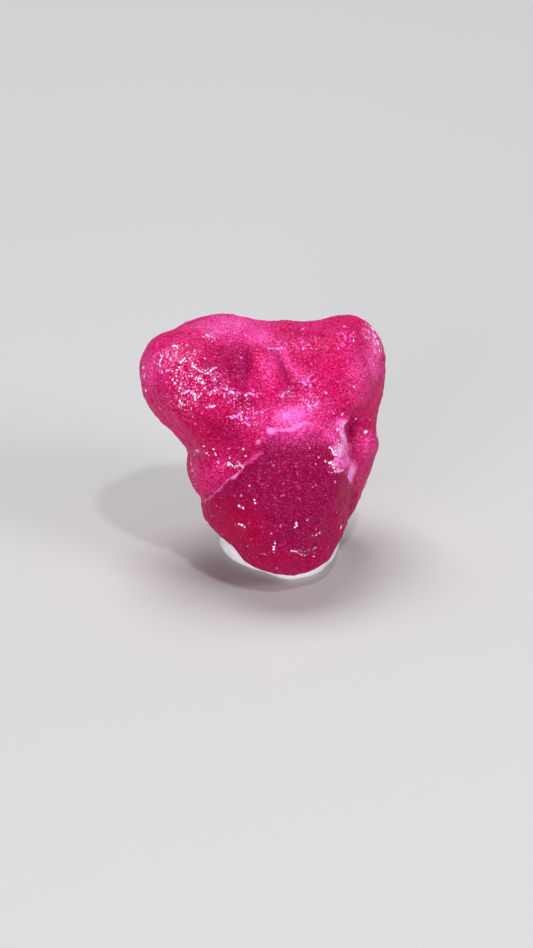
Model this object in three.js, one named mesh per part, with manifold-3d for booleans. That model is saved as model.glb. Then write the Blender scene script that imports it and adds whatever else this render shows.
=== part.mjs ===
// A rubellite, the red to pink tourmaline: one rounded, etched crystal that stands on its narrow
// end in a pad of white mineral tack. Millimetres, +Z up, the tabletop is z = 0, and -Y is the front.
import * as THREE from "three";
import { mergeVertices } from "three/addons/utils/BufferGeometryUtils.js";
import Module from "manifold-3d";

const wasm = await Module();
wasm.setup();

// ---------------------------------------------------------------- driving dimensions
const FACE_LEAN = THREE.MathUtils.degToRad(25); // the broad face leans back this far from upright
const CRYSTAL_LIFT = 8; // the middle of the crystal's own frame is this far above the table
const FOOT_LEVEL = 0.75; // the crystal's foot is worn down to this height above the table
const FOOT_BLEND = 1.2;
const MERGE_WITHIN = 1e-5;
const CRYSTAL_DETAIL = 19; // each edge of the icosahedron is cut into one more part than this
const PUTTY_DETAIL = 9;
const SEAT_GAP = 0.15; // between the crystal and the wall of its seat in the putty
const HEART = new THREE.Vector3(0.3, 1.5, 0.2); // the point that the crystal's surface is measured from
const REACH = 13; // further from the heart than any point of the crystal
const MARCH = 0.15; // step of the walk from REACH in to the surface
const HALVINGS = 14; // times that the last step of that walk is halved
const FRONT_CROWDING = 0.3; // draws the mesh's points together on the front, where the form is finest
const RIM_SAMPLES = 240; // angles at which the outlines are sampled
const RIM_FROM = 0.5; // share of the way from the heart out to the rim where the rim's stretch sets in
const TILT_LIMIT = 60; // degrees in front of and behind the rim that are searched for it
const TILT_STEP = 4;

// The edge of the broad face, x and z, seen square on, anticlockwise from the dip in its top.
const FACE_OUTLINE = [
  [-0.3, 7.5], [-1.4, 7.8], [-2.4, 7.95], [-4.8, 7.65], [-5.7, 7.1], [-6.5, 6.75], [-7.5, 6.0],
  [-8.0, 4.7], [-7.9, 3.1], [-7.3, 1.8], [-6.0, 0.5], [-5.0, -0.8], [-5.1, -1.5], [-4.7, -2.9],
  [-4.1, -3.7], [-4.1, -4.4], [-3.6, -5.4], [-2.4, -6.5], [-0.9, -7.9], [1.3, -8.5], [2.4, -8.3],
  [3.5, -7.7], [4.6, -6.0], [5.7, -3.8], [6.7, -1.3], [6.95, 0], [6.8, 0.9], [7.3, 3.5],
  [7.4, 5.3], [6.9, 6.7], [5.7, 7.8], [3.4, 7.6], [1.7, 7.4], [0.9, 7.5],
];

// The worn faces of the crystal's body: the way each one faces, and its distance from the heart.
const FACES = [
  { name: "upper left front", normal: [-0.3, -0.9, 0.2], reach: 6.7 },
  { name: "upper right front", normal: [0.4, -0.87, 0.25], reach: 6.0 },
  { name: "lower front", normal: [0, -0.93, -0.3], reach: 6.4 },
  { name: "left underside", normal: [-0.6, -0.65, -0.47], reach: 6.6 },
  { name: "left end", normal: [-0.93, 0.05, 0.36], reach: 9.2 },
  { name: "lower left", normal: [-0.75, 0.1, -0.65], reach: 6.1 },
  { name: "tip", normal: [0.1, -0.3, -0.95], reach: 9.3 },
  { name: "brow slope", normal: [-0.1, -0.35, 0.93], reach: 6.6 },
  { name: "top", normal: [0, 0.3, 0.95], reach: 7.4 },
  { name: "right side", normal: [0.95, 0.25, -0.18], reach: 6.6 },
  { name: "right front slope", normal: [0.85, -0.5, -0.1], reach: 6.3 },
  { name: "right underside", normal: [0.8, 0.2, -0.57], reach: 6.9 },
  { name: "back left", normal: [-0.62, 0.78, 0.05], reach: 5.2 },
  { name: "back right", normal: [0.55, 0.83, 0.1], reach: 5.5 },
  { name: "back", normal: [-0.1, 0.97, -0.2], reach: 4.5 },
  { name: "back underside", normal: [-0.15, 0.75, -0.65], reach: 4.9 },
  { name: "back of the top", normal: [0.15, 0.72, 0.68], reach: 6.0 },
];
const FACE_BLEND = 1.6; // how far two worn faces round over into each other

// The lobes that swell out of the body: centre, half sizes, the turn of the x-z section in
// degrees (positive is anticlockwise, seen from the front), and how far it melts into the rest.
const LOBES = [
  { name: "left lobe", at: [-3.3, -0.7, 2.3], half: [5.3, 4.9, 3.7], turn: -34, blend: 0.7 },
  { name: "brow", at: [0.1, 0.0, 3.3], half: [1.7, 5.2, 3.7], turn: 28, blend: 0.5 },
  { name: "right lobe", at: [3.9, 1.4, 3.7], half: [3.5, 5.2, 4.1], turn: 0, blend: 0.9 },
  { name: "right shoulder", at: [4.5, 2.8, -0.8], half: [2.6, 3.4, 4.6], turn: 14, blend: 0.6 },
  { name: "left step", at: [-2.3, 0.5, -1.9], half: [3.6, 4.7, 2.9], turn: -35, blend: 0.4 },
  { name: "lower lobe", at: [0.9, -0.5, -3.1], half: [4.6, 5.4, 5.6], turn: -35, blend: 0.15 },
];

// Hollows worn into it, given in the same way.
const HOLLOWS = [
  { name: "saddle", at: [1.3, -6.0, 1.75], half: [2.1, 1.3, 1.15], turn: 8, blend: 0.35 },
  { name: "right recess", at: [7.3, -3.7, -0.1], half: [2.6, 3.8, 3.0], turn: 6, blend: 0.12 },
  { name: "notch", at: [5.5, -2.0, 0.45], half: [0.75, 2.6, 1.25], turn: 4, blend: 0.12 },
];

// The putty's footprint on the table, x and y, anticlockwise from its front.
const PUTTY_FOOTPRINT = [
  [1.4, -3.7], [2.0, -3.55], [2.7, -3.2], [3.3, -2.65], [3.75, -1.8], [4.2, -0.6], [4.45, 0.7],
  [4.4, 2.0], [3.9, 3.2], [2.9, 4.0], [1.4, 4.4], [-0.2, 4.2], [-1.6, 3.6], [-2.6, 2.6],
  [-3.05, 1.4], [-2.8, 0.3], [-2.34, -0.73], [-1.7, -1.44], [-1.06, -2.07], [-0.44, -2.4],
  [0.19, -2.96], [0.85, -3.5],
];
const PUTTY_AT = new THREE.Vector2(0.8, 0.4); // the middle that its footprint is measured from
const PUTTY_BELLY = 0.35; // height at which the putty bulges furthest
const SHOULDER_POWER = 3; // 2 would be an ellipse; more makes the shoulders squarer
const RIM_HEIGHT = 1.35; // mean height of the putty
const RIM_WAVES = [
  { times: 1, from: 130, size: 0.3 },
  { times: 3, from: 20, size: 0.1 },
  { times: 5, from: 60, size: 0.05 },
];

// A geometry with nothing but its corners and faces, and each corner there once.
function bare(geometry) {
  geometry.deleteAttribute("normal");
  geometry.deleteAttribute("uv");
  return mergeVertices(geometry, MERGE_WITHIN);
}

// ---------------------------------------------------------------- the crystal's form

// Signed distance, near enough, from a point to a turned ellipsoid.
function ellipsoidDistance({ at, half, turn }, point) {
  const angle = THREE.MathUtils.degToRad(turn);
  const dx = point.x - at[0];
  const dz = point.z - at[2];
  const q = new THREE.Vector3(
    dx * Math.cos(angle) + dz * Math.sin(angle),
    point.y - at[1],
    dz * Math.cos(angle) - dx * Math.sin(angle),
  );
  const size = new THREE.Vector3(...half);
  const first = q.clone().divide(size);
  const second = first.clone().divide(size);
  return (first.length() * (first.length() - 1)) / Math.max(second.length(), 1e-9);
}

// The smaller of two distances, rounded over where they cross within the blend.
function softMin(a, b, blend) {
  if (!Number.isFinite(a)) return b;
  const near = Math.max(blend - Math.abs(a - b), 0) / blend;
  return Math.min(a, b) - near * near * blend * 0.25;
}

// How far a point of the crystal's own frame is under the level that its foot is worn down to.
function footDistance(point) {
  const height = CRYSTAL_LIFT - point.y * Math.sin(FACE_LEAN) + point.z * Math.cos(FACE_LEAN);
  return FOOT_LEVEL - height;
}

// Negative inside the crystal, positive outside it.
function crystalField(point) {
  const fromHeart = point.clone().sub(HEART);
  let d = -Infinity;
  for (const { normal, reach } of FACES) {
    const next = fromHeart.dot(new THREE.Vector3(...normal).normalize()) - reach;
    d = -softMin(-d, -next, FACE_BLEND);
  }
  for (const lobe of LOBES) {
    d = softMin(d, ellipsoidDistance(lobe, point), lobe.blend);
  }
  for (const hollow of HOLLOWS) {
    d = -softMin(-d, ellipsoidDistance(hollow, point), hollow.blend);
  }
  return -softMin(-d, -footDistance(point), FOOT_BLEND);
}

// How far the crystal's surface is from its heart along a unit direction.
function surfaceRadius(direction) {
  const at = (r) => crystalField(direction.clone().multiplyScalar(r).add(HEART));
  let outer = REACH;
  while (outer > MARCH && at(outer - MARCH) > 0) outer -= MARCH;
  let inner = outer - MARCH;
  for (let i = 0; i < HALVINGS; i++) {
    const middle = (inner + outer) / 2;
    if (at(middle) > 0) outer = middle;
    else inner = middle;
  }
  return outer;
}

// A radius for every angle round the heart in the x-z plane, as a function that reads between
// evenly spaced samples.
function radiusByAngle(samples) {
  const count = samples.length;
  return (angle) => {
    const place = ((((angle / (2 * Math.PI)) * count) % count) + count) % count;
    const low = Math.floor(place);
    return THREE.MathUtils.lerp(samples[low], samples[(low + 1) % count], place - low);
  };
}

// A drawn closed outline, as a radius for every angle round a middle point.
function drawnRadius(outline, middleX, middleY) {
  const points = outline.map(([x, y]) => new THREE.Vector3(x - middleX, y - middleY, 0));
  const curve = new THREE.CatmullRomCurve3(points, true, "centripetal");
  const rim = curve.getPoints(RIM_SAMPLES * 4).map((p) => [Math.atan2(p.y, p.x), Math.hypot(p.x, p.y)]);
  const samples = Array.from({ length: RIM_SAMPLES }, (_, i) => {
    const angle = (i / RIM_SAMPLES) * 2 * Math.PI;
    const away = (a) => Math.abs(Math.atan2(Math.sin(a - angle), Math.cos(a - angle)));
    return rim.reduce((best, p) => (away(p[0]) < away(best[0]) ? p : best))[1];
  });
  return radiusByAngle(samples);
}

// How far the lobes reach from the heart for every angle, seen square on.
function lobesRadius() {
  const samples = Array.from({ length: RIM_SAMPLES }, (_, i) => {
    const angle = (i / RIM_SAMPLES) * 2 * Math.PI;
    let reach = 0;
    for (let tilt = -TILT_LIMIT; tilt <= TILT_LIMIT; tilt += TILT_STEP) {
      const lift = THREE.MathUtils.degToRad(tilt);
      const direction = new THREE.Vector3(
        Math.cos(lift) * Math.cos(angle),
        Math.sin(lift),
        Math.cos(lift) * Math.sin(angle),
      );
      reach = Math.max(reach, surfaceRadius(direction) * Math.cos(lift));
    }
    return reach;
  });
  return radiusByAngle(samples);
}

// The crystal's closed surface in its own frame, moved out by grow. Its rim, seen square on, is
// stretched to the drawn outline, and the middle of its faces stays where the lobes put it.
function crystalGeometry(detail, grow = 0) {
  const drawn = drawnRadius(FACE_OUTLINE, HEART.x, HEART.z);
  const grown = lobesRadius();
  const merged = bare(new THREE.IcosahedronGeometry(1, detail));
  const place = merged.getAttribute("position");
  const direction = new THREE.Vector3();
  for (let i = 0; i < place.count; i++) {
    direction.fromBufferAttribute(place, i).normalize();
    direction.y -= FRONT_CROWDING;
    direction.normalize();
    const angle = Math.atan2(direction.z, direction.x);
    const r = surfaceRadius(direction);
    const flat = r * Math.hypot(direction.x, direction.z);
    const share = THREE.MathUtils.smoothstep(flat / grown(angle), RIM_FROM, 1);
    const stretch = THREE.MathUtils.lerp(1, drawn(angle) / grown(angle), share);
    place.setXYZ(
      i,
      HEART.x + direction.x * r * stretch + direction.x * grow,
      HEART.y + direction.y * r + direction.y * grow,
      HEART.z + direction.z * r * stretch + direction.z * grow,
    );
  }
  return merged;
}

// ---------------------------------------------------------------- the putty's form
// A closed blob over the drawn footprint, flat-sided and round-shouldered, before it is pressed.
function blobGeometry(detail) {
  const reach = drawnRadius(PUTTY_FOOTPRINT, PUTTY_AT.x, PUTTY_AT.y);
  const merged = bare(new THREE.IcosahedronGeometry(1, detail));
  const place = merged.getAttribute("position");
  const direction = new THREE.Vector3();
  for (let i = 0; i < place.count; i++) {
    direction.fromBufferAttribute(place, i).normalize();
    const angle = Math.atan2(direction.y, direction.x);
    const flat = Math.hypot(direction.x, direction.y);
    const sum = flat ** SHOULDER_POWER + Math.abs(direction.z) ** SHOULDER_POWER;
    const size = sum ** (-1 / SHOULDER_POWER);
    const rise = direction.z > 0 ? rimHeight(angle) - PUTTY_BELLY : PUTTY_BELLY * 2;
    place.setXYZ(
      i,
      PUTTY_AT.x + Math.cos(angle) * flat * size * reach(angle),
      PUTTY_AT.y + Math.sin(angle) * flat * size * reach(angle),
      PUTTY_BELLY + direction.z * size * rise,
    );
  }
  return merged;
}

// How high the putty's rim stands at an angle round its middle.
function rimHeight(angle) {
  return RIM_WAVES.reduce(
    (height, { times, from, size }) =>
      height + size * Math.cos(times * (angle - THREE.MathUtils.degToRad(from))),
    RIM_HEIGHT,
  );
}

// A Manifold body from a closed mesh, in world millimetres.
function solidFrom(geometry, matrix = new THREE.Matrix4()) {
  const moved = geometry.clone().applyMatrix4(matrix);
  return new wasm.Manifold(
    new wasm.Mesh({
      numProp: 3,
      vertProperties: new Float32Array(moved.getAttribute("position").array),
      triVerts: new Uint32Array(moved.getIndex().array),
    }),
  );
}

// The mesh geometry of a Manifold body.
function geometryFrom(solid) {
  const mesh = solid.getMesh();
  const geometry = new THREE.BufferGeometry();
  geometry.setAttribute("position", new THREE.BufferAttribute(new Float32Array(mesh.vertProperties), 3));
  geometry.setIndex(new THREE.BufferAttribute(new Uint32Array(mesh.triVerts), 1));
  return geometry;
}

// ---------------------------------------------------------------- the parts
const rubelliteMaterial = new THREE.MeshStandardMaterial({
  name: "rubellite", color: "#b3123f", roughness: 0.35, metalness: 0,
});
const puttyMaterial = new THREE.MeshStandardMaterial({
  name: "mineral tack", color: "#e6e0ea", roughness: 0.7, metalness: 0,
});

const crystalFrame = new THREE.Group();
crystalFrame.rotation.x = -FACE_LEAN;
crystalFrame.position.z = CRYSTAL_LIFT;
crystalFrame.updateMatrix();

const rubellite = new THREE.Mesh(crystalGeometry(CRYSTAL_DETAIL), rubelliteMaterial);
rubellite.name = "rubellite";
crystalFrame.add(rubellite);

const pressed = solidFrom(crystalGeometry(CRYSTAL_DETAIL, SEAT_GAP), crystalFrame.matrix);
const table = solidFrom(
  bare(new THREE.BoxGeometry(REACH * 2, REACH * 2, REACH)),
  new THREE.Matrix4().makeTranslation(0, 0, -REACH / 2),
);
const pad = new THREE.Mesh(
  geometryFrom(solidFrom(blobGeometry(PUTTY_DETAIL)).subtract(table).subtract(pressed)),
  puttyMaterial,
);
pad.name = "putty_pad";

const specimen = new THREE.Group();
specimen.add(crystalFrame, pad);

export default specimen;
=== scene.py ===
# %% [markdown]
# # A rubellite crystal on its pad of mineral tack
# The object is one natural stone, a rounded and etched crystal of pink-red tourmaline, stuck by
# its narrow end in a small pad of white putty. The imported model gives both solids their shape
# and place. This lesson gives them their skins: the fine, frosted, sugary surface of the stone
# with the light that soaks into it, helped by glow, glints and shade painted into its colour, and
# the kneaded matt white of the putty.
# Everything is made by rule, so that each run gives the same stone.

# %% Load the imported model
import bmesh
import bpy
import math
from mathutils import Matrix, Vector, noise
from mathutils.bvhtree import BVHTree
from mathutils.kdtree import KDTree


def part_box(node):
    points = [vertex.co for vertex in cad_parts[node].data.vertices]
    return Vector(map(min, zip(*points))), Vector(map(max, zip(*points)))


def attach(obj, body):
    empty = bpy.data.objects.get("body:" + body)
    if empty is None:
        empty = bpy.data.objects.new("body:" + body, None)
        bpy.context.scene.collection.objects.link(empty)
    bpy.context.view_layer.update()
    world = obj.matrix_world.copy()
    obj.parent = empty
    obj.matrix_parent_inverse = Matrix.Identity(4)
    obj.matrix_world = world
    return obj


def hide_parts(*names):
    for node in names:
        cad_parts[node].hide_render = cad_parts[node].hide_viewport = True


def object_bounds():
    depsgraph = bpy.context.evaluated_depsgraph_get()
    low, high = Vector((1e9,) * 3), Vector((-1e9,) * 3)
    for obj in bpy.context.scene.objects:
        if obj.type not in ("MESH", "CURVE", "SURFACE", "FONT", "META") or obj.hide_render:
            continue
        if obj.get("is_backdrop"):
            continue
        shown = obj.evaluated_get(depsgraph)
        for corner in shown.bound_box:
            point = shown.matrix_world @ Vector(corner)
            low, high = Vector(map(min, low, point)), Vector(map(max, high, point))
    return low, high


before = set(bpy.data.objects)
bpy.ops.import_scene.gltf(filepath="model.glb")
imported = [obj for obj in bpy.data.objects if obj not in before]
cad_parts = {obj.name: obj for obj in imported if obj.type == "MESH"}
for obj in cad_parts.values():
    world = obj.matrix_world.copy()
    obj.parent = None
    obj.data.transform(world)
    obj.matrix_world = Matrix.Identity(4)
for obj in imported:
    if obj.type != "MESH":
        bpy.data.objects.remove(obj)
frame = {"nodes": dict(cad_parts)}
cad_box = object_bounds()
print("nodes:", ", ".join(frame["nodes"]))

# %% [markdown]
# ## Sizes
# Blender works in metres and the stone is 15 mm wide, so the script keeps a millimetre to
# multiply by. The stone has a frame of its own: seen square on, its broad face leans back 25
# degrees from upright, and every mark on that face is placed by its distance to the right and
# up from the middle of that frame, in millimetres.

# %% Sizes
MM = 0.001
FACE_LEAN = math.radians(25)
CRYSTAL_LIFT = 8
face_to_world = Matrix.Translation((0, 0, CRYSTAL_LIFT)) @ Matrix.Rotation(-FACE_LEAN, 4, "X")
world_to_face = face_to_world.inverted()


def on_face(place):
    """A point in metres, as millimetres right, back and up in the stone's own frame."""
    return world_to_face @ (place / MM)


low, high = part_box("rubellite")
print("stone", [round((b - a) / MM, 1) for a, b in zip(low, high)], "mm")

# %% [markdown]
# ## Shader maths as Python
# A material here is a sum of masks and patterns. Building each Math node by hand hides the sum,
# so one small class wraps an output socket and turns Python's operators into Math nodes, and
# one method makes any other node from its type, its settings and its inputs.

# %% The socket wrapper


class Wire:
    """An output socket that takes part in Python expressions."""

    def __init__(self, finish, socket):
        self.finish = finish
        self.socket = socket

    def maths(self, operation, *values):
        return self.finish.node("ShaderNodeMath", {"operation": operation}, dict(enumerate(values)))

    def __add__(self, other):
        return self.maths("ADD", self, other)

    def __sub__(self, other):
        return self.maths("SUBTRACT", self, other)

    def __rsub__(self, other):
        return self.maths("SUBTRACT", other, self)

    def __mul__(self, other):
        return self.maths("MULTIPLY", self, other)

    def __truediv__(self, other):
        return self.maths("DIVIDE", self, other)

    def __pow__(self, other):
        return self.maths("POWER", self, other)

    __radd__ = __add__
    __rmul__ = __mul__

    def other(self, output):
        """Another output of the node that this one comes from."""
        return Wire(self.finish, self.socket.node.outputs[output])

    def ramp(self, low, high):
        """0 at low, 1 at high, and smooth between them."""
        inputs = {"Value": self, "From Min": low, "From Max": high}
        return self.finish.node("ShaderNodeMapRange", {"interpolation_type": "SMOOTHSTEP"}, inputs)


class Finish:
    """A material whose nodes are written as expressions."""

    def __init__(self, name):
        self.material = bpy.data.materials.new(name)
        self.material.use_nodes = True
        self.nodes = self.material.node_tree.nodes
        self.links = self.material.node_tree.links
        self.shader = self.nodes["Principled BSDF"]

    def node(self, kind, settings=None, inputs=None, output=0):
        made = self.nodes.new(kind)
        for key, value in (settings or {}).items():
            setattr(made, key, value)
        for key, value in (inputs or {}).items():
            self.plug(made.inputs[key], value)
        return Wire(self, made.outputs[output])

    def plug(self, socket, value):
        if isinstance(value, Wire):
            self.links.new(value.socket, socket)
        else:
            socket.default_value = value

    def set(self, **values):
        """Sockets of the main shader, with underscores for the spaces in their names."""
        for key, value in values.items():
            self.plug(self.shader.inputs[key.replace("_", " ")], value)

    def place(self, stretch=(1, 1, 1)):
        """The point on the object in millimetres, squeezed along each axis by the stretch."""
        here = self.node("ShaderNodeTexCoord", output="Object")
        scale = Vector(stretch) / MM
        return self.node("ShaderNodeVectorMath", {"operation": "MULTIPLY"}, {0: here, 1: scale})

    def painted(self, name):
        """A value that the mesh carries at each of its points."""
        return self.node("ShaderNodeAttribute", {"attribute_name": name}, output="Fac")

    def noise(self, place, per_mm, detail=2.0, rough=0.5):
        inputs = {"Vector": place, "Scale": per_mm, "Detail": detail, "Roughness": rough}
        return self.node("ShaderNodeTexNoise", {}, inputs)

    def mix(self, mask, first, second):
        """first where the mask is 0, second where it is 1, as colours."""
        settings = {"data_type": "RGBA"}
        return self.node("ShaderNodeMix", settings, {0: mask, 6: first, 7: second}, output=2)

    def bump(self, height, depth_mm, under=None):
        inputs = {"Height": height, "Distance": depth_mm * MM, "Strength": 1.0}
        if under:
            inputs["Normal"] = under
        return self.node("ShaderNodeBump", {}, inputs)


def shade(red, green, blue):
    """A screen colour, 0 to 255, as the linear colour that Blender works in."""
    steps = [c / 255 for c in (red, green, blue)]
    return (*(c / 12.92 if c <= 0.04 else ((c + 0.055) / 1.055) ** 2.4 for c in steps), 1.0)


# %% [markdown]
# ## The camera
# It looks along +Y, 25 degrees down, so it sees the stone's broad face square on. A long lens
# from 40 cm keeps the outline almost free of perspective, as a close-up lens does.

# %% The camera
CAMERA_AWAY = 400
FRAME_HEIGHT = 59.25
SENSOR = 36
AIM = Vector((-0.09, 0, -2.13))

camera_data = bpy.data.cameras.new("camera")
camera_data.sensor_width = SENSOR
camera_data.lens = SENSOR * CAMERA_AWAY / FRAME_HEIGHT
camera_data.clip_start = 10 * MM
camera_data.clip_end = 10
camera = bpy.data.objects.new("camera", camera_data)
bpy.context.scene.collection.objects.link(camera)
camera.location = (face_to_world @ (AIM + Vector((0, -CAMERA_AWAY, 0)))) * MM
camera.rotation_euler = (math.radians(90) - FACE_LEAN, 0, 0)
bpy.context.scene.camera = camera
print("lens", round(camera_data.lens), "mm")

# %% [markdown]
# ## The floor and the light
# The floor is plain and pale. A wide soft box above and a little behind the stone sends light
# down through its top, and two more, in front and to the right, light its broad face. A small
# lamp picks out the bumps of the etched skin, beside the glints that are painted into its
# colour, a faint box low in front keeps the pad white, and a dim even world fills the shadows.
# Light falls off with the square of the distance, so for a stone this small, with its lamps some
# 30 cm away, a watt or less apiece is enough.

# %% The floor
floor_mesh = bpy.data.meshes.new("floor")
shape = bmesh.new()
bmesh.ops.create_grid(shape, x_segments=1, y_segments=1, size=3.0)
shape.to_mesh(floor_mesh)
shape.free()
floor = bpy.data.objects.new("floor", floor_mesh)
bpy.context.scene.collection.objects.link(floor)
floor_finish = Finish("pale floor")
floor_finish.set(Base_Color=shade(194, 193, 195), Roughness=0.6, Specular_IOR_Level=0.2)
floor_mesh.materials.append(floor_finish.material)
floor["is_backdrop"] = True

# %% The lights


def soft_box(name, place_mm, side_mm, watts, colour=(1, 1, 1)):
    """A square area light aimed at the middle of the stone."""
    data = bpy.data.lights.new(name, "AREA")
    data.size = side_mm * MM
    data.energy = watts
    data.color = colour
    light = bpy.data.objects.new(name, data)
    light.location = Vector(place_mm) * MM
    toward = Vector((0, 0, CRYSTAL_LIFT * MM)) - light.location
    light.rotation_euler = toward.to_track_quat("-Z", "Y").to_euler()
    bpy.context.scene.collection.objects.link(light)


soft_box("top soft box", (-40, 120, 330), 200, 1.0)
soft_box("front soft box", (-130, -290, 70), 160, 0.57)
soft_box("right soft box", (240, -160, 180), 120, 0.47)
soft_box("small spark lamp", (60, -150, 300), 18, 0.25)
soft_box("low soft box", (-60, -260, 20), 80, 0.16, (0.93, 0.95, 1.0))
print(len(bpy.data.lights), "lamps")

# %% The world
world = bpy.data.worlds.new("studio")
world.use_nodes = True
world.node_tree.nodes["Background"].inputs["Color"].default_value = (0.9, 0.9, 0.93, 1)
world.node_tree.nodes["Background"].inputs["Strength"].default_value = 0.13
bpy.context.scene.world = world
bpy.context.scene.view_settings.view_transform = "Standard"

# %% [markdown]
# ## The stone's skin
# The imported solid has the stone's lobes and hollows, with flat facets half a millimetre wide.
# A copy of it is merged, its edges are cut in four and smoothed, and in a later step every point
# is moved a little along its normal, the way a sculptor works over a form. The solid itself is
# left alone.

# %% Copy the solid and cut it finer


def merged_copy(node):
    """A bmesh of a node's mesh, with its loose triangles joined."""
    made = bmesh.new()
    made.from_mesh(frame["nodes"][node].data)
    bmesh.ops.remove_doubles(made, verts=made.verts, dist=0.002 * MM)
    return made


def smooth(made, verts, factor):
    """Draws points toward the middle of their neighbours."""
    axes = {"use_axis_x": True, "use_axis_y": True, "use_axis_z": True}
    bmesh.ops.smooth_vert(made, verts=verts, factor=factor, **axes)


skin = merged_copy("rubellite")
smooth(skin, skin.verts, 0.3)
for _ in range(2):
    bmesh.ops.subdivide_edges(skin, edges=skin.edges, cuts=1, use_grid_fill=True)
    smooth(skin, skin.verts, 0.4)
    smooth(skin, skin.verts, 0.4)
print("stone skin:", len(skin.verts), "points")

# %% [markdown]
# ## Marks on the broad face
# The stone's colour and frost change from place to place. The pale marks are painted light: glow
# where the stone is thin and highlights on faces turned to the light. The deep marks are painted
# shade where the lower lobe, the recesses and the creases lie in shade, and darker patches
# besides. The frosted marks are where the etching is dense, with a rougher skin and many painted
# glints. Each such place is a mark, an oval or a line on the broad face, given in millimetres to
# the right and up. A mark is 1 on its middle and fades to 0 at its edge. Nature draws no clean
# edge, so every point is read three times over: exactly, nudged a little for thin lines, and
# nudged further for patches. The nudges come from Blender's vector noise, which starts from a new
# place in every session unless it is given a seed.

# %% Ovals and lines
noise.seed_set(5)


class Spot:
    """A point of the stone's own frame, exact and nudged about."""

    def __init__(self, place):
        self.exact = on_face(place)
        slow = noise.noise_vector(self.exact * 1.1)
        quick = noise.noise_vector(self.exact * 4.5)
        self.thin = self.exact + slow * 0.09 + quick * 0.05
        self.ragged = self.exact + slow * 0.3 + quick * 0.1


def fade(distance):
    """1 at distance 0, 0 from distance 1 on, smooth between."""
    t = min(max(1.0 - distance, 0.0), 1.0)
    return t * t * (3 - 2 * t)


def oval(p, x, z, half_x, half_z, turn=0):
    """How far inside an oval a point is, turned anticlockwise in degrees."""
    dx, dz = p.x - x, p.z - z
    angle = math.radians(turn)
    across = (dx * math.cos(angle) + dz * math.sin(angle)) / half_x
    along = (dz * math.cos(angle) - dx * math.sin(angle)) / half_z
    return fade(math.hypot(across, along))


def plateau(p, x, z, half_x, half_z, turn=0):
    """An oval that is full over its inner half and fades over the rest."""
    return min(oval(p, x, z, half_x, half_z, turn) * 2, 1.0)


def way(*corners):
    """A path of straight stretches: for each its start, its run and the run's length squared."""
    points = [Vector(corner) for corner in corners]
    runs = [end - start for start, end in zip(points, points[1:])]
    return [(start, run, run.length_squared) for start, run in zip(points, runs)]


def beside(p, path):
    """The distance from a point to a path, and the side that it lies on, 1 or -1."""
    here = Vector((p.x, p.z))
    nearest, side = 99.0, 1.0
    for start, run, squared in path:
        off = here - start
        share = min(max(off.dot(run) / squared, 0.0), 1.0)
        away = (off - run * share).length
        if away < nearest:
            nearest = away
            side = math.copysign(1.0, run.x * off.y - run.y * off.x)
    return nearest, side


def line(p, path, half_width):
    """How near a point is to a path."""
    return fade(beside(p, path)[0] / half_width)


# %% [markdown]
# ## The lines
# The lower lobe's skin ends in a seam that runs from the left edge, as a thin pale crack, partly
# a painted highlight on its edge, up to the ledge under the saddle and on to the wall of the
# notch. The other lines are the groove and the ridge that come down from the dip in the top, a
# crease, and the edge of the dark patch.
# A line is a path of short straight stretches, and its nudged points give it its crooked edge.

# %% The lines
CRACK = way((-4.3, -3.95), (-3.85, -3.75), (-3.5, -3.57), (-3.04, -3.12), (-2.6, -2.7), (-1.75, -2.0))
BLUR = way((-1.75, -2.0), (-1.1, -1.4), (-0.3, -0.85))
LEDGE = way((0.1, 0.5), (0.6, 0.55), (1.1, 0.62), (1.7, 0.76), (2.35, 1.0), (2.75, 1.0))
DOTTED_END = way((2.75, 1.0), (3.45, 0.7), (3.85, 0.35), (4.1, -0.2))
SEAM = CRACK + way((-1.75, -2.0), (-1.1, -1.1), (-0.5, -0.2), (0.1, 0.4)) + LEDGE + DOTTED_END
WALL = way((4.85, 1.6), (4.9, 0.9), (4.85, 0.3), (4.8, -0.3))
FRAYED_END = way((4.7, -0.4), (4.5, -0.9), (4.1, -1.6))
RIM = way((4.15, -2.0), (4.6, -1.85), (4.95, -2.1), (5.15, -2.6), (5.35, -3.2))
GROOVE = way((0.0, 5.9), (0.55, 5.2), (1.06, 4.3), (1.5, 3.5))
RIDGE = way((0.7, 5.8), (1.15, 5.0), (1.7, 4.3), (2.2, 3.7))
CREASE = way((1.3, 6.85), (2.4, 6.6), (3.7, 6.55))
BEAD_LINE = way((-0.3, 5.9), (0.45, 5.6), (1.1, 5.5))
LEAF = way((-3.95, 6.25), (-3.4, 6.75), (-2.5, 6.75))
GLARE = way((6.2, 6.9), (6.6, 6.3), (6.85, 5.6))
PATCH_EDGE = way((-0.6, 6.2), (-0.7, 5.4), (-0.95, 4.3), (-1.15, 3.2), (-1.0, 2.4))
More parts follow.
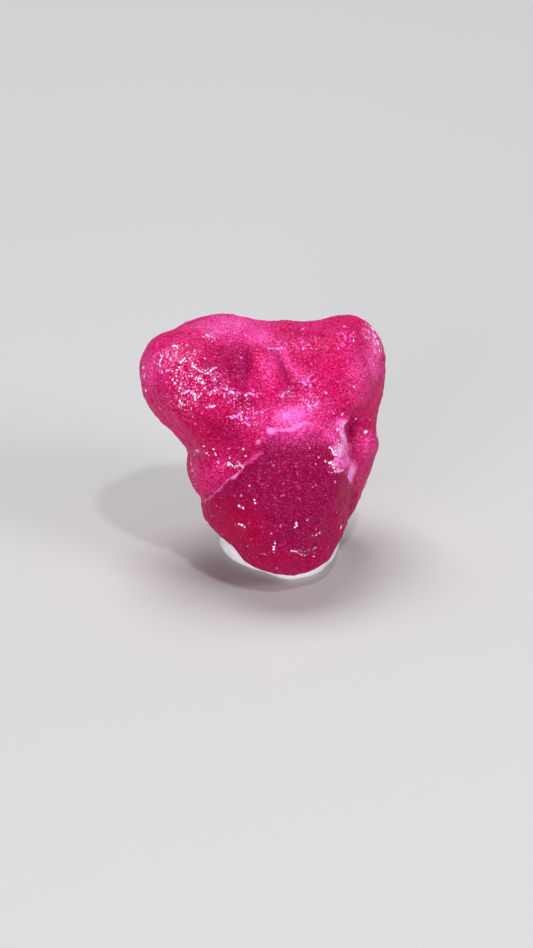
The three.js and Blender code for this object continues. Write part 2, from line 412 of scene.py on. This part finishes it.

# %% [markdown]
# ## The painted glints
# Tiny faces that the etching left catch the light all over the stone, and here their glints are
# painted highlights, white or violet dots in the stone's colour. The noise in its finish makes
# most of them, and the ones that one would miss have their own places: the largest one by one,
# as right, up and half size, and the small ones in rows along the ridges of the etching.
# A ray shot at the broad face finds where each lies on the skin. A search tree then tells how
# far any point is from its nearest grain, which keeps a grain round on a steep side too.

# %% The places of the grains
FLASHES = [
    (-6.7, 1.97, 0.16), (-7.75, 4.5, 0.18), (-7.65, 3.88, 0.2), (-7.6, 3.1, 0.13),
    (2.25, 6.9, 0.17), (1.55, 6.7, 0.09), (2.2, 5.65, 0.13), (0.06, 5.65, 0.11),
    (4.8, 7.05, 0.14), (5.35, 6.15, 0.13), (4.4, 5.7, 0.1), (3.05, 5.65, 0.1), (5.3, 3.3, 0.14),
    (7.15, 4.75, 0.12), (4.6, 1.6, 0.1), (5.45, 1.28, 0.11), (6.12, 0.5, 0.2), (6.75, 0.3, 0.17),
    (4.38, 0.0, 0.12), (4.1, -0.8, 0.12), (-2.05, 6.6, 0.13), (-4.0, 6.4, 0.1), (-1.3, 6.45, 0.1),
    (-3.9, 5.0, 0.09), (-5.6, 5.4, 0.09), (2.6, -0.53, 0.08), (-1.17, -2.86, 0.08),
    (4.25, -4.5, 0.09), (2.4, -4.98, 0.08), (-2.0, -5.2, 0.09), (0.28, -5.78, 0.07),
    (-0.2, -7.28, 0.11), (-1.4, -6.75, 0.08), (4.55, -5.4, 0.18), (0.68, -4.72, 0.07),
    (6.55, 6.95, 0.24), (6.65, 6.45, 0.2), (6.8, 6.0, 0.18), (6.95, 5.6, 0.15),
    (-4.37, -0.72, 0.12), (-4.0, -0.42, 0.11), (-3.77, -0.89, 0.11), (-3.36, -0.63, 0.11),
    (-3.2, -0.89, 0.12), (-3.07, -1.37, 0.1), (-2.34, -1.1, 0.11), (-2.45, -1.5, 0.13),
    (-1.9, -1.57, 0.12), (-1.46, -1.79, 0.11), (-1.38, -1.0, 0.1), (-1.55, -0.6, 0.09),
    (-6.6, 4.9, 0.12), (-6.55, 4.2, 0.12), (-6.2, 5.5, 0.11), (-5.9, 3.7, 0.12), (-5.6, 4.3, 0.11),
    (-4.8, -1.5, 0.13), (-4.75, -1.9, 0.13), (-4.65, -2.35, 0.11), (-4.55, -2.8, 0.1),
]

ROWS = [
    way((-5.42, 4.77), (-5.0, 5.06)), way((-4.7, 4.67), (-4.45, 4.37), (-4.19, 4.21), (-3.94, 4.21)),
    way((-3.89, 4.26), (-3.69, 4.11), (-3.53, 4.26), (-3.37, 4.42), (-3.02, 4.42)),
    way((-5.57, 3.86), (-5.67, 3.65), (-5.77, 3.45), (-5.57, 3.19), (-5.31, 3.19)),
    way((-5.16, 2.84), (-4.91, 2.99), (-4.7, 2.89), (-4.5, 2.63), (-4.45, 2.33)),
    way((-4.4, 3.86), (-4.14, 3.75), (-3.94, 3.45), (-3.79, 3.25)),
    way((-4.3, 2.58), (-4.19, 2.84), (-3.99, 2.94)), way((-3.69, 2.73), (-3.48, 2.89), (-2.97, 3.04)),
    way((-2.77, 3.19), (-2.51, 3.04), (-2.26, 2.84), (-2.0, 2.84)),
    way((-1.34, 2.74), (-1.08, 2.84), (-0.83, 2.69), (-0.57, 2.69)),
    way((-5.47, 2.43), (-5.26, 2.22), (-5.42, 2.02)), way((-3.79, 2.02), (-3.12, 2.07)),
    way((-2.46, 1.41), (-2.16, 1.31), (-1.75, 1.61), (-1.44, 1.71)),
    way((-1.54, 1.2), (-1.24, 1.0), (-1.19, 0.69)), way((-0.83, 1.61), (-0.22, 1.71)),
    way((-5.93, 5.84), (-5.67, 5.75), (-5.52, 5.54)), way((-6.54, 5.19), (-6.64, 4.87), (-6.69, 4.38)),
    way((-6.23, 4.26), (-5.94, 4.16), (-5.72, 4.26)), way((-6.34, 5.39), (-6.03, 5.28)),
    way((-3.84, 6.46), (-3.38, 6.25)), way((-0.47, 6.05), (-0.12, 5.79), (0.29, 5.64), (1.0, 5.54)),
    way((-1.34, 1.36), (-1.12, 1.22)), way((0.86, 2.65), (1.0, 2.87), (1.32, 3.01), (1.42, 2.83)),
    way((2.01, 3.57), (2.25, 3.43), (2.52, 3.29), (2.8, 3.33)), way((3.53, 2.97), (3.72, 2.74)),
    way((2.34, 2.37), (2.47, 2.09), (2.7, 1.95), (2.89, 2.09), (3.12, 2.32)),
    way((4.36, 0.67), (4.59, 0.34), (4.64, 0.07)), way((3.53, -1.31), (3.9, -1.5), (4.13, -1.68)),
    way((3.81, -0.58), (3.99, -0.85), (4.18, -1.04), (4.55, -0.94)),
    way((4.27, -0.3), (4.55, -0.21), (4.95, -0.3), (5.0, -0.48)),
    way((-2.48, -1.35), (-2.06, -1.67), (-1.86, -1.35), (-1.54, -1.67)),
    way((1.52, -6.91), (2.11, -7.16), (2.6, -7.3), (3.0, -7.2)), way((0.43, -6.32), (0.33, -7.16)),
    way((3.0, -5.87), (3.34, -5.72)), way((1.76, -5.13), (1.61, -5.53)),
    way((-0.9, -3.75), (-0.66, -4.04)), way((-1.79, -4.05), (-1.5, -4.29)),
    way((-0.46, -7.16), (-0.16, -7.35)), way((2.85, -6.76), (3.1, -6.66)),
    way((-1.7, -5.18), (-1.25, -5.43)),
]

# %% Lay the grains on the skin
GRAIN_GAP = 0.17
GRAIN = 0.11
STRAY = 0.1

flashes = list(FLASHES)
for start, run, squared in sum(ROWS, []):
    count = max(round(math.sqrt(squared) / GRAIN_GAP), 1)
    for step in range(count):
        x, z = start + run * (step / count)
        off = noise.noise_vector((x * 9, z * 9, 0)) * STRAY
        flashes.append((x + off.x, z + off.y, GRAIN + off.z * 0.5))


def on_skin(x, z):
    """Where a mark of the broad face lies on the skin, in millimetres."""
    start = (face_to_world @ Vector((x, -20, z))) * MM
    ahead = face_to_world.to_3x3() @ Vector((0, 1, 0))
    return on_face(skin_tree.ray_cast(start, ahead)[0])


skin_tree = BVHTree.FromBMesh(skin)
flash_tree = KDTree(len(flashes))
for number, (x, z, half) in enumerate(flashes):
    flash_tree.insert(on_skin(x, z), number)
flash_tree.balance()
print(len(flashes), "flashing grains")


def beside_flash(p):
    """The distance from a point to the nearest placed glint, and that glint's half size."""
    _, number, away = flash_tree.find(p)
    return away, flashes[number][2]


# %% [markdown]
# ## Pale, deep and frosted places
# Each function here is one mark. It takes a spot of the skin and gives the largest of the ovals
# and lines that the mark is made of, so that neighbours run into each other without a step. The
# notch and the wedge below it lie on steep skin, where a mark seen square on would run down the
# side for millimetres, so those also have a depth at which they stop.

# %% Where it is pale, deep and frosted


def reach(p, full, gone):
    """1 as far back as one depth and 0 behind another, for a mark that must not run down a side."""
    return fade((p.y - full) / (gone - full))


NOTCH_CUT = 4.87
NOTCH_FOOT, NOTCH_TOP = -0.4, 1.5


def notch_wall(p):
    """Painted light on the notch's wall, soft on its left and cut off sharply on its right."""
    left = 3.95 + (1.1 - p.z) * 0.36
    across = (p.x - left) / (NOTCH_CUT - left)
    if not (0 < across < 1 and NOTCH_FOOT < p.z < NOTCH_TOP):
        return 0.0
    ends = min((NOTCH_TOP - p.z) / 0.5, (p.z - NOTCH_FOOT) / 0.3)
    return min(across * 1.1, ends, 1.0) * reach(p, -2.8, -1.0)


def pale(spot):
    """Painted glow and highlights, where it is thin or faces the light. Above 1 almost white."""
    p, q = spot.exact, spot.ragged
    return max(
        oval(q, 1.4, 1.5, 2.0, 1.15, 10) ** 0.7,
        oval(q, 1.6, 1.2, 3.6, 2.4, 10) ** 0.8 * 0.6,
        oval(q, 2.2, 0.3, 2.6, 1.4, 10) * 0.25,
        line(q, BLUR, 0.3) * 0.4,
        line(p, LEDGE, 0.4) * 0.6,
        notch_wall(spot.thin) * 1.4,
        oval(spot.thin, 4.5, -0.6, 0.8, 0.7, 40) ** 0.7 * 1.35,
        line(spot.thin, FRAYED_END, 0.4),
        oval(q, 3.9, 0.4, 1.3, 1.4, -40) * 0.6,
        oval(q, 4.85, -1.35, 0.5, 0.6) ** 0.6 * 0.9,
        oval(q, 6.1, -0.2, 1.1, 1.4) * 0.55,
        oval(spot.thin, 5.36, -2.1, 0.42, 1.1, 1) ** 0.5 * reach(spot.thin, -2.2, -0.2) * 1.45,
        oval(q, -2.4, 7.2, 4.4, 1.9) * 0.6,
        oval(q, -0.4, 6.4, 2.0, 1.3) * 0.6,
        line(q, RIDGE, 0.8) * 0.45,
        oval(q, 0.0, 4.4, 1.5, 2.6, -15) * 0.4,
        line(q, GLARE, 0.6) * 0.5,
        oval(q, 6.6, 5.0, 1.2, 3.0) * 0.6,
        oval(q, 5.6, 4.0, 1.6, 2.8) * 0.4,
        oval(q, -4.7, -1.7, 0.6, 1.3, 15) * 0.42,
        oval(q, -3.2, -1.8, 2.2, 1.1, 40) * 0.18,
        oval(q, -7.4, 4.3, 0.9, 2.4) * 0.45,
        oval(q, -6.3, 5.2, 2.0, 1.6) * 0.3,
    )


def vein_and_edge_highlight(spot):
    """Thin pale lines and beads: partly cracks, partly painted highlights on edges."""
    p = spot.thin
    patchy = 0.8 + noise.noise(spot.exact * 2.3) * 0.9
    return max(
        line(p, CRACK, 0.14) * reach(p, -1.6, 0.4),
        line(p, BLUR, 0.2) * 0.4,
        line(p, LEDGE, 0.3) * patchy * (1 - fade((3.0 - p.x) / 1.2) * 0.4),
        line(p, DOTTED_END, 0.16) * patchy * 0.7,
        plateau(p, 0.15, 0.52, 0.4, 0.3, 20),
        plateau(p, 1.8, 0.85, 0.6, 0.26, 15) * 0.8,
        plateau(p, -1.97, -2.27, 0.42, 0.2, 45) * 0.9,
        plateau(p, -0.63, -0.15, 0.3, 0.2, 40) * 0.75,
        line(p, RIM, 0.2) * reach(p, -2.2, -0.9) * patchy,
        line(p, LEAF, 0.13) * 0.5,
        line(p, BEAD_LINE, 0.14) * 0.5,
    )


def deep_and_painted_shade(spot):
    """Painted shade on the lower lobe, in the notch's recess and creases, and darker patches."""
    q = spot.ragged
    gap, side = beside(spot.thin, PATCH_EDGE)
    left_of_edge = 1 - fade(gap / 0.14) if side < 0 else 0.0
    gap, side = beside(spot.thin, SEAM)
    under_seam = min(gap / 0.3, 1.0) if side < 0 else 0.0
    return max(
        oval(q, 0.6, -3.0, 6.5, 7.0) ** 0.35 * under_seam,
        oval(q, -1.9, 4.5, 4.1, 3.0) ** 0.4 * left_of_edge * 0.65,
        oval(q, -1.6, 2.3, 1.7, 0.9) * 0.8,
        oval(q, 5.3, 0.7, 0.6, 1.3) * 0.6,
        line(q, GROOVE, 0.6) * 0.55,
        line(spot.thin, CREASE, 0.2) * 0.5,
        oval(q, -2.8, 0.4, 3.4, 1.7, -30) * 0.75,
        oval(q, -4.6, 0.7, 2.0, 1.6, -45) * 0.45,
        oval(q, 6.6, 4.0, 0.9, 1.4) * 0.5,
        oval(q, 5.3, 2.0, 1.2, 0.9) * 0.4,
    )


def ruddy(spot):
    """Places where the skin is smooth and the red is at its purest."""
    q = spot.ragged
    return max(
        oval(q, -1.8, -5.4, 4.2, 2.8, -45),
        oval(q, 0.6, -7.5, 4.0, 1.2) * 0.9,
        oval(q, -3.7, 0.5, 3.4, 1.7, -40) * 0.9,
        oval(q, 7.2, 1.2, 1.6, 4.0) * 0.8,
        oval(q, 4.9, -4.2, 1.3, 3.0, -12) * 0.6,
        oval(q, -1.6, 2.2, 1.6, 0.8) * 0.7,
        oval(q, -1.5, -0.7, 2.0, 1.0, 30) * 0.7,
    )


def frost_and_painted_glints(spot):
    """Dense etching: rougher skin with many painted glints."""
    q = spot.ragged
    return max(
        oval(q, -5.5, 4.9, 1.9, 1.7, -20),
        oval(q, -6.2, 4.8, 1.2, 1.5) * 0.9,
        oval(q, -4.9, 2.9, 2.0, 2.1, -20) * 0.85,
        oval(q, -3.4, 3.6, 1.5, 1.3),
        oval(q, -2.4, 2.8, 2.1, 0.6, -12),
        oval(q, -1.7, 2.0, 2.2, 0.9, -30) * 0.75,
        oval(q, -1.0, 1.3, 1.5, 1.0, -15),
        oval(q, -0.8, 2.8, 1.0, 0.45),
        oval(q, 1.2, 2.9, 0.8, 0.6),
        oval(q, 2.5, 3.6, 1.3, 0.8, -15),
        oval(q, 2.75, 2.2, 1.0, 0.8),
        oval(q, -4.1, -0.85, 1.2, 0.4) * 0.6,
        oval(q, -2.1, -1.4, 1.3, 0.6, -20) * 0.7,
        oval(q, -3.6, 6.4, 0.8, 0.45) * 0.7,
        oval(q, 2.4, 6.0, 1.9, 0.9) * 0.6,
        oval(q, 4.8, 6.4, 1.0, 0.9) * 0.6,
        line(q, GLARE, 0.6) * 0.8,
        line(q, FRAYED_END, 0.6),
        oval(q, 4.4, -0.4, 0.6, 0.8),
        oval(q, 2.0, -7.0, 1.2, 0.5, 5) * 0.4,
    )


def spark(spot):
    """The painted glints that have their own places."""
    away, half = beside_flash(spot.thin)
    return fade(away / half)


# %% [markdown]
# ## Sculpting the skin
# Every point moves along its normal by the sum of what shaped the stone: slow waves, the
# shallow dimples and fine roughness of etching, the step of the seam, where the lower lobe's
# skin stands over the upper ones, a groove beside its ridge, and a few small pits. The sides and
# the back have the waves and the dimples alone.

# %% Sculpt the skin
SEAM_STEP = 0.12
SEAM_DIES_AT, SEAM_DIES_OVER = -4.3, 1.2
PIT_DEPTH = 0.2
# How far back the marks of the broad face start to fade, and where they are gone.
BACK_FROM, BACK_FULL = 1.0, 3.0
PITS = [
    (0.42, -6.4, 0.5), (-0.3, -7.3, 0.45), (-1.4, -6.8, 0.4), (1.7, -7.2, 0.45), (2.5, -7.3, 0.45),
    (3.0, -6.6, 0.5), (1.4, -5.9, 0.6), (-0.9, -5.9, 0.5), (3.9, -4.8, 0.6), (0.2, -4.9, 0.5),
]


def worked(spot):
    """How far out a point of the skin moves, in millimetres."""
    p = spot.exact
    out = noise.fractal(p * 0.45, 1.0, 2.0, 3) * 0.06
    out += noise.fractal(p * 2.4 + Vector((7, 3, 1)), 0.8, 2.0, 3) * 0.04
    out += (noise.voronoi(spot.ragged * 0.75)[0][0] - 0.5) * 0.16
    if p.y > BACK_FULL:
        return out
    gap, side = beside(spot.thin, SEAM)
    step = SEAM_STEP * (1 - fade((p.x - SEAM_DIES_AT) / SEAM_DIES_OVER))
    marks = fade(gap / 1.2) * step * (1.0 if side < 0 else -0.6)
    marks += line(p, RIDGE, 0.9) * 0.12 - line(p, GROOVE, 0.7) * 0.1 - line(p, CREASE, 0.22) * 0.1
    marks += plateau(spot.thin, -1.97, -2.25, 0.45, 0.22, 45) * 0.08
    marks += plateau(spot.thin, -0.63, -0.18, 0.3, 0.24, 40) * 0.1
    marks += plateau(spot.thin, 0.05, 0.5, 0.45, 0.32, 30) * 0.08
    marks += line(spot.thin, LEDGE, 0.24) * 0.02 + line(spot.thin, WALL, 0.22) * 0.1
    marks += line(spot.thin, RIM, 0.15) * 0.06 + oval(p, 5.1, -0.35, 0.25, 0.3) * 0.2
    marks -= oval(p, -2.2, 4.6, 2.6, 2.4) * 0.08
    marks -= sum(oval(p, x, z, half, half * 0.8) for x, z, half in PITS) * PIT_DEPTH
    marks += spark(spot) * 0.03
    front = min((BACK_FULL - p.y) / (BACK_FULL - BACK_FROM), 1.0)
    return out + marks * front


# %% [markdown]
# ## Carrying the marks on the mesh
# A finish can't call these functions, but it can read a number that the mesh keeps at each of its
# points, an attribute. So each mark is written into the mesh under its own name. Toward the back
# it gives way to slow patches of noise. Points must lie closer than a mark is wide, so the skin
# is cut finer along the thin lines, around the grains, and once more inside the grains. Where
# points lie that close, one light smoothing after the sculpting keeps them from standing up as
# spikes.

# %% Carry the marks on the mesh
# On the sides and the back the pale and deep marks, painted light and painted shade, become slow
# patches.
BACK_SEEDS = {"pale": (3, 9, 1), "deep_and_painted_shade": (8, 2, 6), "ruddy": (5, 5, 9), "frost_and_painted_glints": (1, 5, 4)}
BACK_MEAN = {"pale": 0.12, "deep_and_painted_shade": 0.3, "ruddy": 0.3, "frost_and_painted_glints": 0.15}
BACK_SWING, BACK_MOST = 0.5, 0.6


def back_patches(spot, mark):
    """Slow patches of a mark for the sides and the back, which have no marks of their own."""
    if mark not in BACK_SEEDS:
        return 0.0
    wave = noise.fractal(spot.ragged * 0.45 + Vector(BACK_SEEDS[mark]), 0.9, 2.0, 4)
    return min(max(BACK_MEAN[mark] + wave * BACK_SWING, 0.0), BACK_MOST)


def carry(made, spots, mark):
    """Writes a mark's value at each point of a bmesh, under the mark's own name."""
    layer = made.verts.layers.float.new(mark.__name__)
    for v, spot in zip(made.verts, spots):
        behind = 1 - fade((spot.exact.y - BACK_FROM) / (BACK_FULL - BACK_FROM))
        front = mark(spot) if behind < 1 else 0.0
        v[layer] = front * (1 - behind) + back_patches(spot, mark.__name__) * behind


def skin_mesh(name, made):
    """A smooth-shaded mesh of a bmesh."""
    mesh = bpy.data.meshes.new(name)
    made.to_mesh(mesh)
    for face in mesh.polygons:
        face.use_smooth = True
    return mesh


def finer(made, near):
    """Cuts the edges in two where near says so of both their ends."""
    close = {v for v in made.verts if near(on_face(v.co))}
    edges = [e for e in made.edges if e.verts[0] in close and e.verts[1] in close]
    bmesh.ops.subdivide_edges(made, edges=edges, cuts=1, use_grid_fill=True)


# %% Cut the skin finer and sculpt it
THIN_MARKS = [CRACK, LEDGE, DOTTED_END, WALL, RIM, PATCH_EDGE, CREASE, LEAF]
THIN_BAND = 0.22
FLASH_BAND = 0.08
TIGHT_EDGE = 0.07


def near_thin_mark(p):
    return p.y < BACK_FROM and min(beside(p, path)[0] for path in THIN_MARKS) < THIN_BAND


def around_flash(p):
    away, half = beside_flash(p)
    return p.y < BACK_FROM and away < half + FLASH_BAND


def in_flash(p):
    away, half = beside_flash(p)
    return p.y < BACK_FROM and away < half


print("stone skin:", len(skin.faces), "faces before the marks")
finer(skin, near_thin_mark)
finer(skin, around_flash)
finer(skin, in_flash)
skin.normal_update()
spots = [Spot(v.co) for v in skin.verts]
for mark in (pale, vein_and_edge_highlight, deep_and_painted_shade, ruddy, frost_and_painted_glints, spark):
    carry(skin, spots, mark)
for v, spot in zip(skin.verts, spots):
    v.co += v.normal * worked(spot) * MM
tight = [v for v in skin.verts if min(e.calc_length() for e in v.link_edges) < TIGHT_EDGE * MM]
smooth(skin, tight, 0.4)
stone_mesh = skin_mesh("etched_stone", skin)
stone_tree = BVHTree.FromBMesh(skin)
skin.free()

# %% Stand the skin in the stone's place


def add_piece(name, mesh, node):
    """Stands a mesh in a node's place, on the one body that the object has."""
    piece = bpy.data.objects.new(name, mesh)
    bpy.context.scene.collection.objects.link(piece)
    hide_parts(node)
    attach(piece, "root")


add_piece("etched_stone", stone_mesh, "rubellite")
print("stone skin:", sum(len(face.vertices) - 2 for face in stone_mesh.polygons), "triangles")

# %% [markdown]
# ## The stone's finish
# The stone is a deep crimson that lets light soak a few millimetres in, so its thin lobes glow
# pink: subsurface scattering with a long reach for red alone does part of that, painted glow in
# its colour does more, and a little of plain transmission with tourmaline's own index of
# refraction leaves it clear for the rest. The colour also carries painted shade where the stone
# is darker. Its skin is etched all over: a fine speckle of lighter specks, and, where the etching
# is dense, strings of painted glints, white or violet dots for tiny faces that flash. The speckle
# comes from noise and the glints from the cells of a Voronoi texture, one to a cell with a chance
# of its own. The marks are frayed with the same noise before they choose a colour. A Mix node at a
# time then lays the colours over one another, from the body of the stone to the brightest painted
# glint.

# %% The stone's finish
f = Finish("frosted rubellite")
here = f.place()
lying = f.place((0.6, 0.6, 1))
is_painted_glow, is_vein_and_edge_highlight, is_deep_and_painted_shade = (f.painted(mark.__name__) for mark in (pale, vein_and_edge_highlight, deep_and_painted_shade))
is_ruddy, is_frost_and_painted_glints, is_placed_painted_glint = (f.painted(mark.__name__) for mark in (ruddy, frost_and_painted_glints, spark))
cloud = f.noise(here, 0.5, 3.0, 0.55)
specks = f.noise(lying, 11.0, 3.0, 0.75)
curds = f.noise(here, 2.2, 3.0, 0.6)
fray = (specks - 0.5) * 2.5 + (curds - 0.5) * 0.9

# %% The etched grains
shake = f.node("ShaderNodeTexNoise", {}, {"Vector": here, "Scale": 9.0}, output="Color")
wobble = {0: shake, 1: (0.1, 0.1, 0.1), 2: here}
wobbled = f.node("ShaderNodeVectorMath", {"operation": "MULTIPLY_ADD"}, wobble)


def grains(per_mm):
    """One roundish grain to a cell: how far off its middle, and a chance and a hue of its own."""
    cell = {"Vector": wobbled, "Scale": per_mm}
    distance = f.node("ShaderNodeTexVoronoi", {"feature": "F1"}, cell, output="Distance")
    chance = f.node("ShaderNodeSeparateColor", {}, {"Color": distance.other("Color")}, output="Red")
    return distance, chance, chance.other("Green")


off_middle, chance, hue = grains(5.0)
off_middle = off_middle / (0.58 + hue * 0.37)
bends = f.noise(here, 1.7, 1.5, 0.5)
strings = 1 - ((bends - 0.5) ** 2).ramp(0.0006, 0.004)
dense = is_frost_and_painted_glints.ramp(0.0, 0.65)
thick = dense * (strings * 0.6 + curds.ramp(0.42, 0.55) * 0.4)
lucky = (chance + thick * 0.9).ramp(0.985, 0.995)
# Painted highlights: a glint in each lucky cell, with a paler halo around it.
painted_glint_halo = off_middle.ramp(0.62, 0.3) * lucky
painted_glint = off_middle.ramp(0.48, 0.26) * lucky
# Fainter and smaller painted glints, thicker where the etching is dense.
off_small, small_chance, _ = grains(8.0)
faint_painted_glints = off_small.ramp(0.5, 0.25) * (small_chance + dense * (strings * 0.5 + 0.2)).ramp(0.97, 1.0)

# %% The stone's colours
speck = specks.ramp(0.5, 0.64)
grit = specks.ramp(0.48, 0.38)
mottle = f.noise(here, 5.0, 3.0, 0.7).ramp(0.48, 0.72)
# Masks of painted light, from the pale mark: lit, a paler core, and near white.
painted_lit = (is_painted_glow + fray * 0.2).ramp(0.0, 0.9)
painted_glow_core = (is_painted_glow + fray * 0.15).ramp(0.5, 1.1)
painted_glow_white = (is_painted_glow + fray * 0.3).ramp(0.9, 1.4)
# The mask of painted shade and of the stone's deeper colour, from the deep mark.
deep_and_shaded_mask = (is_deep_and_painted_shade + fray * 0.15).ramp(0.1, 0.9)
crimson = f.mix(cloud.ramp(0.38, 0.62), shade(188, 0, 74), shade(204, 4, 94))
# Painted shade: darker crimson on the lower lobe, in the notch's recess and in the creases.
crimson = f.mix(deep_and_shaded_mask, crimson, shade(141, 0, 61))
crimson = f.mix(is_ruddy * 0.7, crimson, shade(181, 0, 60))
crimson = f.mix(mottle * (0.5 - deep_and_shaded_mask * 0.4), crimson, shade(240, 60, 145))
# Painted light: glow where the stone is thin and highlights on faces turned to the light.
crimson = f.mix(painted_lit, crimson, shade(255, 66, 172))
crimson = f.mix(painted_glow_core, crimson, shade(255, 108, 210))
crimson = f.mix(painted_glow_white, crimson, shade(255, 200, 234))
crimson = f.mix(grit * (0.4 - painted_glow_core * 0.25), crimson, shade(128, 0, 48))
# The specks are paler where light is painted.
specked = f.mix(painted_lit, shade(250, 105, 200), shade(255, 205, 246))
speckled = 0.34 + is_frost_and_painted_glints * 0.25 + painted_lit * 0.2 + painted_glow_core * 0.3 - deep_and_shaded_mask * 0.16 - is_ruddy * 0.2
crimson = f.mix(speck * speckled, crimson, specked)
# Pale lines: partly cracks, partly painted highlights on edges.
crimson = f.mix((is_vein_and_edge_highlight + fray * 0.3).ramp(0.15, 1.15), crimson, shade(255, 148, 228))
# The faint painted glints, then the halos of the larger ones.
crimson = f.mix(faint_painted_glints * 0.7, crimson, shade(255, 170, 228))
crimson = f.mix(painted_glint_halo * 0.7, crimson, shade(250, 120, 220))
# Painted glints are white or violet: violet only high on the stone, and not at its far left or right.
to_right = f.node("ShaderNodeSeparateXYZ", {}, {"Vector": here}, output="X")
upward = to_right.other("Z")
violet = (hue * 0.6 + to_right.ramp(-4, 0) * 0.4 - to_right.ramp(5, 6) * 0.6).ramp(0.35, 0.6)
violet = violet * upward.ramp(9.2, 10.2)
painted_glint_colour = f.mix(violet, shade(255, 244, 236), shade(214, 120, 248))
crimson = f.mix(painted_glint * (0.55 + dense * 0.45), crimson, painted_glint_colour)
# Painted highlights at the glints that have their own places: a pink flare, then a white or violet
# core.
painted_flare = is_placed_painted_glint + fray * 0.35
crimson = f.mix(painted_flare.ramp(0.05, 0.45) * 0.6, crimson, shade(250, 130, 220))
painted_flare_colour = f.mix(violet * 0.85, shade(255, 248, 246), shade(222, 130, 244))
crimson = f.mix(painted_flare.ramp(0.22, 0.52), crimson, painted_flare_colour)

# %% Give the stone its finish
f.set(
    Base_Color=crimson,
    Roughness=0.5 - is_frost_and_painted_glints ** 0.5 * 0.25,
    IOR=1.63,
    Specular_IOR_Level=0.04,
    Specular_Tint=(1.0, 0.2, 0.6, 1.0),
    Subsurface_Weight=0.7,
    Subsurface_Radius=(1.0, 0.08, 0.25),
    Subsurface_Scale=2.5 * MM,
    Transmission_Weight=0.15,
    Normal=f.bump(painted_glint_halo, 0.02, f.bump(specks, 0.025, f.bump(curds, 0.12))),
)
stone_mesh.materials.append(f.material)
print("stone finish:", len(f.nodes), "nodes")

# %% [markdown]
# ## The putty
# The stone was pressed into a small ball of mineral tack, rolled and pinched by hand, so its
# pad is smooth and soft-shouldered, with shallow dents, and it clings to the stone all round.
# The solid leaves a thin gap at its seat. Here the seat's points are drawn onto the stone's
# skin, the rest is dented, and the underside stays flat on the table. Points drawn to the
# nearest place can bunch up or overtake each other, so they are evened out between their
# neighbours and drawn onto the skin again, a few times over.

# %% Knead the putty
CLINGS_WITHIN = 0.32
SINKS_IN = 0.04
DENTS = 0.14
FOLDS = 0.07
SOLE = 0.03
SLIVER = 0.03
RELAXED = 6

putty = merged_copy("putty_pad")
bmesh.ops.remove_doubles(putty, verts=putty.verts, dist=SLIVER * MM)
bmesh.ops.triangulate(putty, faces=putty.faces)
for _ in range(2):
    bmesh.ops.subdivide_edges(putty, edges=putty.edges, cuts=1, use_grid_fill=True)
    smooth(putty, [v for v in putty.verts if v.co.z > SOLE * MM], 0.5)
putty.normal_update()
clinging = []
for v in putty.verts:
    if v.co.z < SOLE * MM:
        continue
    touch, outward, _, gap = stone_tree.find_nearest(v.co)
    if gap < CLINGS_WITHIN * MM and outward.dot(v.normal) < 0:
        v.co = touch - outward * SINKS_IN * MM
        clinging.append(v)
    else:
        p = v.co / MM
        dent = noise.fractal(p * 0.6 + Vector((4, 4, 4)), 1.0, 2.0, 2) * DENTS
        dent -= fade(abs(noise.noise(p * Vector((0.55, 0.55, 1.1)))) / 0.07) * FOLDS
        v.co += v.normal * dent * MM * min(p.z / 0.4, 1.0)
for _ in range(RELAXED):
    smooth(putty, clinging, 0.5)
    for v in clinging:
        touch, outward, _, _ = stone_tree.find_nearest(v.co)
        v.co = touch - outward * SINKS_IN * MM
print("putty:", len(putty.verts), "points,", len(clinging), "drawn onto the stone")
putty_mesh = skin_mesh("kneaded_putty", putty)
putty.free()
add_piece("kneaded_putty", putty_mesh, "putty_pad")

# %% [markdown]
# ## The putty's finish
# Mineral tack is a chalk-filled wax: matt, almost white, a little lilac in places. Light
# goes half a millimetre into it, which keeps its shadows soft. Faint mottling and a fine skin
# grain keep it from looking like plastic.

# %% The putty's finish
t = Finish("mineral tack")
on_putty = t.place()
mottle = t.noise(on_putty, 0.9, 3.0, 0.6)
skin_grain = t.noise(on_putty, 9.0, 3.0, 0.6)
t.set(
    Base_Color=t.mix(mottle.ramp(0.35, 0.7), shade(253, 250, 254), shade(245, 239, 249)),
    Roughness=0.55 + skin_grain * 0.2,
    Subsurface_Weight=0.4,
    Subsurface_Radius=(1.0, 0.8, 0.9),
    Subsurface_Scale=0.5 * MM,
    Specular_IOR_Level=0.3,
    Normal=t.bump(skin_grain, 0.03, t.bump(mottle, 0.15)),
)
putty_mesh.materials.append(t.material)
print("putty finish:", len(t.nodes), "nodes")

# %% [markdown]
# ## Measuring
# Both boxes, the imported model's and that of everything that is seen, are measured and printed
# in millimetres, so that the two can be compared. The skin may stand only a little out of the
# imported model's box.

# %% Measure
seen_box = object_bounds()
boxes = {
    "cad": [list(corner) for corner in cad_box],
    "visual": [list(corner) for corner in seen_box],
}
for name, (start, end) in boxes.items():
    print(name, [round((b - a) / MM, 2) for a, b in zip(start, end)], "mm")
